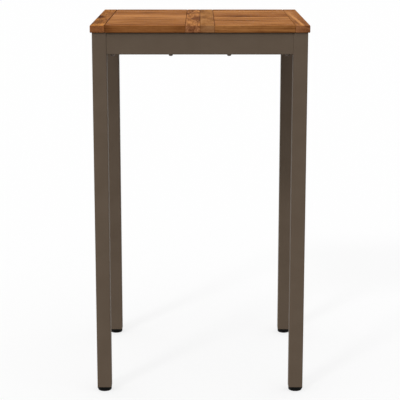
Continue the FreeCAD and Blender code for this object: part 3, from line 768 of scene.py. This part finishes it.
@dataclass
class SlattedTop:
    """Two halves of the top, each a row of slats tenoned into an outer and an inner stile."""

    arris: float = 0.002
    arris_steps: int = 4
    slat_gap: float = 0.0025
    tenon_length: float = 0.008
    tenon_thickness: float = 0.008
    tenon_shoulder: float = 0.010
    tenon_clearance: float = 0.0001
    slot: str = "oiled_hardwood"

    # Tones of the slats in each half, from the front.
    TONES = {
        "left": "UMBER AMBER AMBER AMBER HONEY PALE AMBER RUSSET AMBER RUSSET".split(),
        "right": "AMBER AMBER AMBER AMBER HONEY UMBER RUSSET AMBER HONEY RUSSET".split(),
    }
    # Added to a board's name where another draw of its pith suits it better.
    OTHER_CUTS = {"left_slat_01": "b", "right_inner_stile": "c", "left_outer_stile": "c"}
    # Rates of the fine curl in the outer stiles.
    FINE_RIPPLE = (18.0, 160.0)

    def slats(self, half: str) -> dict[str, BoardTone]:
        """Give the slats of a half, from the front, with their colours."""
        return {f"{half}_slat_{place:02d}": BoardTone[tone] for place, tone in enumerate(self.TONES[half], 1)}

    def slat_body(self, name: str) -> tuple[Vector, Vector]:
        """Find a slat without its tenons.

        Args:
            name: Node of the slat.

        Returns:
            Lowest and highest corner.
        """
        low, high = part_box(name)
        reach = Vector((self.tenon_length, 0.0, 0.0))
        return low + reach, high - reach

    def hardwood(self, name: str, tone: BoardTone, run: GrainRun, **marks: object) -> Material:
        """Make the material of one board.

        Args:
            name: Node that the board stands for.
            tone: Its colours.
            run: Way that its grain runs.
            **marks: Its figure, knots, streaks and joints.

        Returns:
            The material.
        """
        seed = name + self.OTHER_CUTS.get(name, "")
        finish = OiledHardwood(tone, run, tuple(middle(name)), seed, **marks)
        return finish.material(f"hardwood_{name}")

    def plank(self, low: Vector, high: Vector) -> Form:
        """Make a plank with rounded arrises.

        Args:
            low: Lowest corner.
            high: Highest corner.

        Returns:
            Closed form.
        """
        form = bmesh.new()
        place = Matrix.LocRotScale((low + high) / 2, None, high - low)
        bmesh.ops.create_cube(form, size=1.0, matrix=place)
        rounded(form, form.edges, self.arris, self.arris_steps)
        return form

    def build_slat(self, name: str, tone: BoardTone) -> None:
        """Build one slat with a stub tenon at both ends.

        Args:
            name: Node of the slat.
            tone: Colours of the board.
        """
        low, high = self.slat_body(name)
        form = self.plank(low, high)
        tenon = (high.y - low.y - 2 * self.tenon_shoulder, self.tenon_thickness)
        for way in SIDES:
            end = side_faces(form, Vector((way, 0.0, 0.0)))[0]
            move = Vector((way * self.tenon_length, 0.0, 0.0))
            push_rectangle(form, end, middle(name), tenon, move)
        material = self.hardwood(name, tone, GrainRun.LEFT_TO_RIGHT, joints=(low.x, high.x))
        finished(f"oiled_{name}", form, material, TABLE_BODY, self.slot, name)

    def cut_mortises(self, form: Form, look: Vector, slats: Sequence[tuple[Vector, Vector]]) -> None:
        """Cut a mortise for every slat into one side of a stile.

        Args:
            form: Form of the stile.
            look: Way that the side looks.
            slats: Corners of the slats without their tenons, from the front.
        """
        for _low, high in slats[:-1]:
            sides = side_faces(form, look)
            geometry = sides + list({edge for face in sides for edge in face.edges})
            cut = Vector((0.0, high.y + self.slat_gap / 2, 0.0))
            bmesh.ops.bisect_plane(form, geom=geometry, plane_co=cut, plane_no=(0.0, 1.0, 0.0))
        cells = sorted(side_faces(form, look), key=lambda face: face.calc_center_median().y)
        height = self.tenon_thickness + 2 * self.tenon_clearance
        move = -look * (self.tenon_length + self.tenon_clearance)
        for cell, (low, high) in zip(cells, slats):
            width = high.y - low.y - 2 * self.tenon_shoulder + 2 * self.tenon_clearance
            push_rectangle(form, cell, (low + high) / 2, (width, height), move)

    def build_stile(self, half: str, place: str, tone: BoardTone, **marks: object) -> None:
        """Build one stile, with its mortises on the side of the slats.

        Args:
            half: Half of the top.
            place: Outer or inner.
            tone: Colours of the board.
            **marks: Its figure, knots and streaks.
        """
        name = f"{half}_{place}_stile"
        low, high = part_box(name)
        slats = [self.slat_body(slat) for slat in self.slats(half)]
        form = self.plank(low, high)
        way = math.copysign(1.0, slats[0][0].x - low.x)
        self.cut_mortises(form, Vector((way, 0.0, 0.0)), slats)
        slat_side = high.x if way > 0.0 else low.x
        # Seams where painted shade darkens the upper arrises.
        joints = (low.x, high.x) if place == "inner" else (slat_side,)
        material = self.hardwood(name, tone, GrainRun.FRONT_TO_BACK, joints=joints, **marks)
        finished(f"oiled_{name}", form, material, TABLE_BODY, self.slot, name)

    def build_stiles(self) -> None:
        """Build the stiles from left to right: knotty, curly, plain, and streaked with heart and sap."""
        shade = Streak(
            ends=(0.012, 0.012), half_width=0.011, colour=BoardTone.UMBER.body, share=0.55, fade=(0.0, -0.30)
        )
        heart = Streak(
            ends=(0.014, 0.008), half_width=0.013, colour=BoardTone.UMBER.body, share=0.6, fade=(0.3, 0.9)
        )
        sap = Streak(
            ends=(0.0, -0.015), half_width=0.006, colour=BoardTone.PALE.pale, share=0.95, fade=(-0.05, 0.30)
        )
        knot = Knot(place=(-0.014, -0.009), across=0.013, along=0.050)
        self.build_stile(
            "left", "outer", BoardTone.ORANGE, figure=0.8, ripple_rates=self.FINE_RIPPLE, joint_reach=0.003,
            joint_share=0.8, knots=(knot,), streaks=(shade,), end_grain_tint=(0.64, 0.59, 0.87, 1.0),
        )
        self.build_stile(
            "left", "inner", BoardTone.COPPER, figure=0.95, ring_waver=8.0, waver_rates=(9.0, 16.0),
            end_grain_tint=(0.98, 0.98, 1.35, 1.0),
        )
        self.build_stile(
            "right", "inner", BoardTone.FAWN, ring_share=0.2, vein_depth=0.25,
            end_grain_tint=(1.03, 1.08, 1.45, 1.0),
        )
        self.build_stile(
            "right", "outer", BoardTone.AMBER, figure=0.4, ripple_rates=self.FINE_RIPPLE, joint_share=0.2,
            streaks=(heart, sap),
        )

    def build(self) -> None:
        """Build both halves and dress the batten under their seam."""
        self.build_stiles()
        for half in self.TONES:
            for name, tone in self.slats(half).items():
                self.build_slat(name, tone)
        dress(self.hardwood("centre_batten", BoardTone.AMBER, GrainRun.FRONT_TO_BACK), ["centre_batten"])


@dataclass
class SteelFrame:
    """Legs, aprons and the spigots that the aprons slide over, all powder coated."""

    finish: PowderCoat = PowderCoat()

    def build(self) -> None:
        """Dress every tube of the frame."""
        coat = self.finish.material("taupe_powder_coat")
        dress(coat, [f"{side}_apron" for side in ("front", "back", "left", "right")])
        dress(coat, [f"{corner}_leg" for corner in CORNERS])
        dress(coat, [f"{corner}_spigots" for corner in CORNERS])


def swept(outline: Sequence[Pair], steps: int, climb: float = 0.0) -> Form:
    """Sweep an outline of radius and height once about the vertical.

    Args:
        outline: Points of the outline.
        steps: Sides of the swept form.
        climb: Height that the turn gains, as a thread does.

    Returns:
        Form about the origin, closed round the axis unless it climbs.
    """
    form = bmesh.new()
    verts = [form.verts.new((radius, 0.0, height)) for radius, height in outline]
    edges = [form.edges.new(pair) for pair in zip(verts, verts[1:])]
    bmesh.ops.spin(
        form, geom=verts + edges, cent=(0.0, 0.0, 0.0), axis=(0.0, 0.0, 1.0), dvec=(0.0, 0.0, climb / steps),
        angle=math.tau, steps=steps, use_merge=climb == 0.0,
    )
    return form


def turned(outline: Sequence[Pair], steps: int) -> Form:
    """Turn a closed form from an outline of radius and height.

    Args:
        outline: Points that start and end on the axis.
        steps: Sides of the turned form.

    Returns:
        Closed form about the origin.
    """
    form = swept(outline, steps)
    bmesh.ops.remove_doubles(form, verts=form.verts, dist=MERGE_DISTANCE)
    bmesh.ops.recalc_face_normals(form, faces=form.faces)
    return form


def ring_edges(form: Form, radius: float, height: float) -> list[bmesh.types.BMEdge]:
    """Find the edges of the level circle of one radius at one height.

    Args:
        form: Turned form about the origin.
        radius: Radius of the circle.
        height: Height of the circle.

    Returns:
        Its edges.
    """
    level = [vert for vert in form.verts if abs(vert.co.z - height) < MERGE_DISTANCE]
    ring = {vert for vert in level if abs(vert.co.xy.length - radius) < MERGE_DISTANCE}
    return [edge for edge in form.edges if ring.issuperset(edge.verts)]


@dataclass
class LevellingFeet:
    """Four feet: a plug in the leg, and a glide on a threaded stem that winds up and down in it."""

    glide_taper: float = 0.0006
    glide_round: float = 0.003
    glide_round_steps: int = 6
    glide_rim: float = 0.001
    glide_rim_steps: int = 3
    glide_sides: int = 72
    stem_bore: float = 0.00405
    stem_seat: float = 0.00705
    thread_pitch: float = 0.00125
    thread_flat_share: float = 0.125
    thread_depth: float = 0.0007
    thread_lead_in: float = 0.0021
    thread_sides: int = 28
    plastic_slot: str = "black_plastic"
    steel_slot: str = "zinc_plated_steel"

    def stand(self, form: Form, node: str) -> None:
        """Move a form from the origin to the foot of its node."""
        low, _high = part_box(node)
        bmesh.ops.translate(form, vec=(*middle(node).xy, low.z), verts=form.verts)

    def build_glide(self, corner: str, plastic: Material) -> None:
        """Turn one glide with a rounded lower edge and a blind hole for its stem.

        Args:
            corner: Corner of the table.
            plastic: Its finish.
        """
        node = f"{corner}_glide"
        low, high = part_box(node)
        height = high.z - low.z
        upper = (high.x - low.x) / 2
        lower = upper - self.glide_taper
        floor = height - self.stem_seat
        outline = (
            (0.0, 0.0), (lower, 0.0), (upper, height),
            (self.stem_bore, height), (self.stem_bore, floor), (0.0, floor),
        )
        form = turned(outline, self.glide_sides)
        rounded(form, ring_edges(form, lower, 0.0), self.glide_round, self.glide_round_steps)
        rounded(form, ring_edges(form, upper, height), self.glide_rim, self.glide_rim_steps)
        self.stand(form, node)
        finished(f"turned_{node}", form, plastic, f"{corner}_foot", self.plastic_slot, node)

    def thread_turn(self, crest: float) -> Form:
        """Sweep one turn of the thread, which starts below the origin.

        Args:
            crest: Outer radius of the thread.

        Returns:
            Open form.
        """
        root = crest - self.thread_depth
        half = self.thread_pitch / 2
        flat = self.thread_pitch * self.thread_flat_share
        notch = (
            (crest, 0.0), (crest, flat), (root, half - flat / 2), (root, half + flat),
            (crest, self.thread_pitch),
        )
        lowered = [(radius, height - self.thread_lead_in) for radius, height in notch]
        return swept(lowered, self.thread_sides, self.thread_pitch)

    def threaded_rod(self, crest: float, length: float) -> Form:
        """Make a threaded rod: one turn of the thread, stacked and trimmed at both ends.

        Args:
            crest: Outer radius of the thread.
            length: Length of the rod.

        Returns:
            Closed form that stands on the origin.
        """
        form = self.thread_turn(crest)
        turns = math.ceil((length + self.thread_lead_in) / self.thread_pitch)
        repeat(form, [Vector((0.0, 0.0, turn * self.thread_pitch)) for turn in range(1, turns + 1)])
        bmesh.ops.remove_doubles(form, verts=form.verts, dist=MERGE_DISTANCE)
        for height, way in zip((0.0, length), SIDES):
            whole = [*form.verts, *form.edges, *form.faces]
            end = (0.0, 0.0, height)
            bmesh.ops.bisect_plane(form, geom=whole, plane_co=end, plane_no=(0.0, 0.0, way), clear_outer=True)
        bmesh.ops.holes_fill(form, edges=[edge for edge in form.edges if edge.is_boundary], sides=0)
        return form

    def build_stem(self, corner: str, zinc: Material) -> None:
        """Build one threaded stem.

        Args:
            corner: Corner of the table.
            zinc: Its finish.
        """
        node = f"{corner}_stem"
        low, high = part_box(node)
        form = self.threaded_rod((high.x - low.x) / 2, high.z - low.z)
        self.stand(form, node)
        finished(f"threaded_{node}", form, zinc, f"{corner}_screw", self.steel_slot, node)

    def build(self, zinc: Material) -> None:
        """Build the glides and stems, and dress the plugs and their nuts.

        Args:
            zinc: Finish of the stems and nuts.
        """
        plastic = MouldedPlastic().material("black_plastic")
        for corner in CORNERS:
            self.build_glide(corner, plastic)
            self.build_stem(corner, zinc)
        dress(plastic, [f"{corner}_plug" for corner in CORNERS])
        dress(zinc, ["stem_nuts"])


@dataclass
class Fasteners:
    """Button-head bolts under the aprons, and the nuts and screws that the table hides."""

    flange_radius: float = 0.006
    flange_thickness: float = 0.0012
    head_radius: float = 0.00545
    head_height: float = 0.0045
    crown_radius: float = 0.0030
    dome_steps: int = 6
    shank_radius: float = 0.003
    socket_across: float = 0.004
    socket_depth: float = 0.002
    socket_sides: int = 6
    sides: int = 36
    spigot_length: float = 0.030
    panel_spacing: float = 0.160
    slot: str = "black_zinc_steel"

    def dome(self) -> list[Pair]:
        """Give the outline of the head's dome.

        Returns:
            Radius and height of each point, from the crown to the flange.
        """
        spread = self.head_radius - self.crown_radius
        rise = self.head_height - self.flange_thickness
        turns = [step * math.pi / 2 / self.dome_steps for step in range(self.dome_steps + 1)]
        return [
            (self.crown_radius + spread * math.sin(turn), -self.flange_thickness - rise * math.cos(turn))
            for turn in turns
        ]

    def button_bolt(self, length: float) -> Form:
        """Make a bolt that points up, with the seat of its head at the origin.

        Args:
            length: Length of the shank.

        Returns:
            Closed form.
        """
        half_side = math.pi / self.socket_sides
        socket = self.socket_across / 2 / math.cos(half_side)
        floor = self.socket_depth - self.head_height
        outline = [
            (0.0, floor), (socket, floor), (socket, -self.head_height), *self.dome(),
            (self.flange_radius, -self.flange_thickness), (self.flange_radius, 0.0),
            (self.shank_radius, 0.0), (self.shank_radius, length), (0.0, length),
        ]
        form = turned(outline, self.sides)
        for vert in form.verts:
            if abs(vert.co.xy.length - socket) < MERGE_DISTANCE:
                sector = math.atan2(vert.co.y, vert.co.x) % (2 * half_side) - half_side
                vert.co.xy = vert.co.xy.normalized() * (self.socket_across / 2 / math.cos(sector))
        return form

    def build_bolts(self, node: str, places: Sequence[Pair], black: Material) -> None:
        """Build one group of bolts, each mirrored into the four quarters of the table.

        Args:
            node: Node that the group stands for.
            places: Places in the quarter where X and Y are positive.
            black: Their finish.
        """
        low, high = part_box(node)
        seat = low.z + self.head_height
        quarters = product(places, SIDES, SIDES)
        spots = [Vector((way_x * x, way_y * y, seat)) for (x, y), way_x, way_y in quarters]
        form = self.button_bolt(high.z - seat)
        bmesh.ops.translate(form, vec=spots[0], verts=form.verts)
        repeat(form, [spot - spots[0] for spot in spots[1:]])
        finished(f"domed_{node}", form, black, TABLE_BODY, self.slot, node)

    def places(self) -> dict[str, tuple[Pair, Pair]]:
        """Find the bolts of the back right quarter, which are on the middle lines of its aprons.

        Returns:
            For each node, the bolt in the back apron and the one in the right apron.
        """
        line_x = middle("right_apron").x
        line_y = middle("back_apron").y
        tip, _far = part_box("back_right_spigots")
        half = self.spigot_length / 2
        seam = (middle("right_slat_06").y + middle("right_slat_07").y) / 2
        return {
            "corner_bolts": ((tip.x + half, line_y), (line_x, tip.y + half)),
            "panel_bolts": ((self.panel_spacing / 2, line_y), (line_x, seam)),
        }

    def build(self, zinc: Material) -> None:
        """Build the bolts and dress the rest.

        Args:
            zinc: Finish of the nuts and screws.
        """
        plating = PlatedSteel(tones=(linear(72, 62, 56), linear(88, 77, 70)), roughness=(0.30, 0.44))
        black = plating.material("black_zinc_steel")
        for node, places in self.places().items():
            self.build_bolts(node, places, black)
        dress(zinc, ["corner_nuts", "panel_insert_nuts", "batten_screws"])


@dataclass
class Studio:
    """Plain pale floor, soft light from the front left and above, and the camera."""

    floor_size: float = 120.0
    floor_glow: float = 0.72
    floor_pale: float = 0.85
    floor_bounce: float = 0.12
    horizon_strength: float = 0.70
    zenith_strength: float = 1.18
    key_strength: float = 0.7
    key_softness: float = math.radians(9.0)
    key_from: Place = (-0.42, -0.68, 0.60)
    camera_place: Place = (0.0, -3.988, 1.358)
    camera_pitch: float = math.radians(12.13)
    lens: float = 121.7
    sensor: float = 36.0

    def seen(self, kit: NodeKit) -> Socket:
        """Tell what the camera sees, straight, mirrored or through glass, from what only lights.

        Args:
            kit: Node tree to add to.

        Returns:
            1 on what is seen, and 0 on the rest.
        """
        path = kit.add("LightPath").outputs
        share = kit.maths("MAXIMUM", path["Is Camera Ray"], path["Is Glossy Ray"])
        return kit.maths("MAXIMUM", share, path["Is Transmission Ray"])

    def matt(self, kit: NodeKit, grey: float) -> Socket:
        """Add a matt grey shader."""
        return kit.fed(kit.add("BsdfDiffuse"), (grey, grey, grey, 1.0)).outputs["BSDF"]

    def floor_finish(self) -> Material:
        """Make the floor near white with the table's faint shadow from above, and see-through from below.

        Returns:
            The material.
        """
        material = bpy.data.materials.new("pale_floor")
        material.use_nodes = True
        material.node_tree.nodes.clear()
        kit = NodeKit(material.node_tree)
        glow = kit.add("Emission").outputs["Emission"]
        pale = kit.layered(self.floor_glow, self.matt(kit, self.floor_pale), glow)
        upper = kit.layered(self.seen(kit), self.matt(kit, self.floor_bounce), pale)
        below = kit.add("NewGeometry").outputs["Backfacing"]
        both = kit.layered(below, upper, kit.add("BsdfTransparent").outputs["BSDF"])
        kit.fed(kit.add("OutputMaterial"), both)
        return material

    def build_floor(self) -> None:
        """Lay the floor."""
        form = bmesh.new()
        bmesh.ops.create_grid(form, x_segments=1, y_segments=1, size=self.floor_size / 2)
        data = bpy.data.meshes.new("floor")
        form.to_mesh(data)
        form.free()
        data.materials.append(self.floor_finish())
        floor = linked("floor", data)

    def build_key(self) -> None:
        """Hang the key light."""
        lamp = bpy.data.lights.new("key", "SUN")
        lamp.energy = self.key_strength
        lamp.angle = self.key_softness
        key = linked("key", lamp)
        key.rotation_euler = Vector(self.key_from).to_track_quat("Z", "Y").to_euler()

    def build_dome(self) -> None:
        """Set a dome of light that is brightest overhead and shows as white."""
        world = bpy.data.worlds.new("dome")
        world.use_nodes = True
        world.node_tree.nodes.clear()
        kit = NodeKit(world.node_tree)
        height = kit.axis(kit.add("TexCoord").outputs["Generated"], "Z")
        strength = kit.span(height, RISING, (self.horizon_strength, self.zenith_strength))
        sky = kit.fed(kit.add("Background"), WHITE, strength).outputs["Background"]
        white = kit.fed(kit.add("Background"), WHITE).outputs["Background"]
        kit.fed(kit.add("OutputWorld"), kit.layered(self.seen(kit), sky, white))
        bpy.context.scene.world = world

    def build_camera(self) -> None:
        """Set the camera in front of the table and above it, tilted down."""
        lens = bpy.data.cameras.new("camera")
        lens.lens = self.lens
        lens.sensor_width = self.sensor
        lens.clip_end = self.floor_size * 2
        camera = linked("camera", lens)
        camera.location = self.camera_place
        camera.rotation_euler = (math.pi / 2 - self.camera_pitch, 0.0, 0.0)
        bpy.context.scene.camera = camera

    def build(self) -> None:
        """Build the floor, the light and the camera."""
        self.build_floor()
        self.build_key()
        self.build_dome()
        self.build_camera()
        bpy.context.scene.view_settings.view_transform = "Standard"


def main() -> None:
    """Build every sub-assembly, then the studio round it."""
    logging.basicConfig(level=logging.INFO, format="%(name)s: %(message)s")
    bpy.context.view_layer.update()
    plating = PlatedSteel(tones=(linear(176, 178, 176), linear(196, 198, 200)), roughness=(0.24, 0.4))
    zinc = plating.material("zinc_plated_steel")
    SlattedTop().build()
    SteelFrame().build()
    Fasteners().build(zinc)
    LevellingFeet().build(zinc)
    Studio().build()


if __name__ == "__main__":
    main()
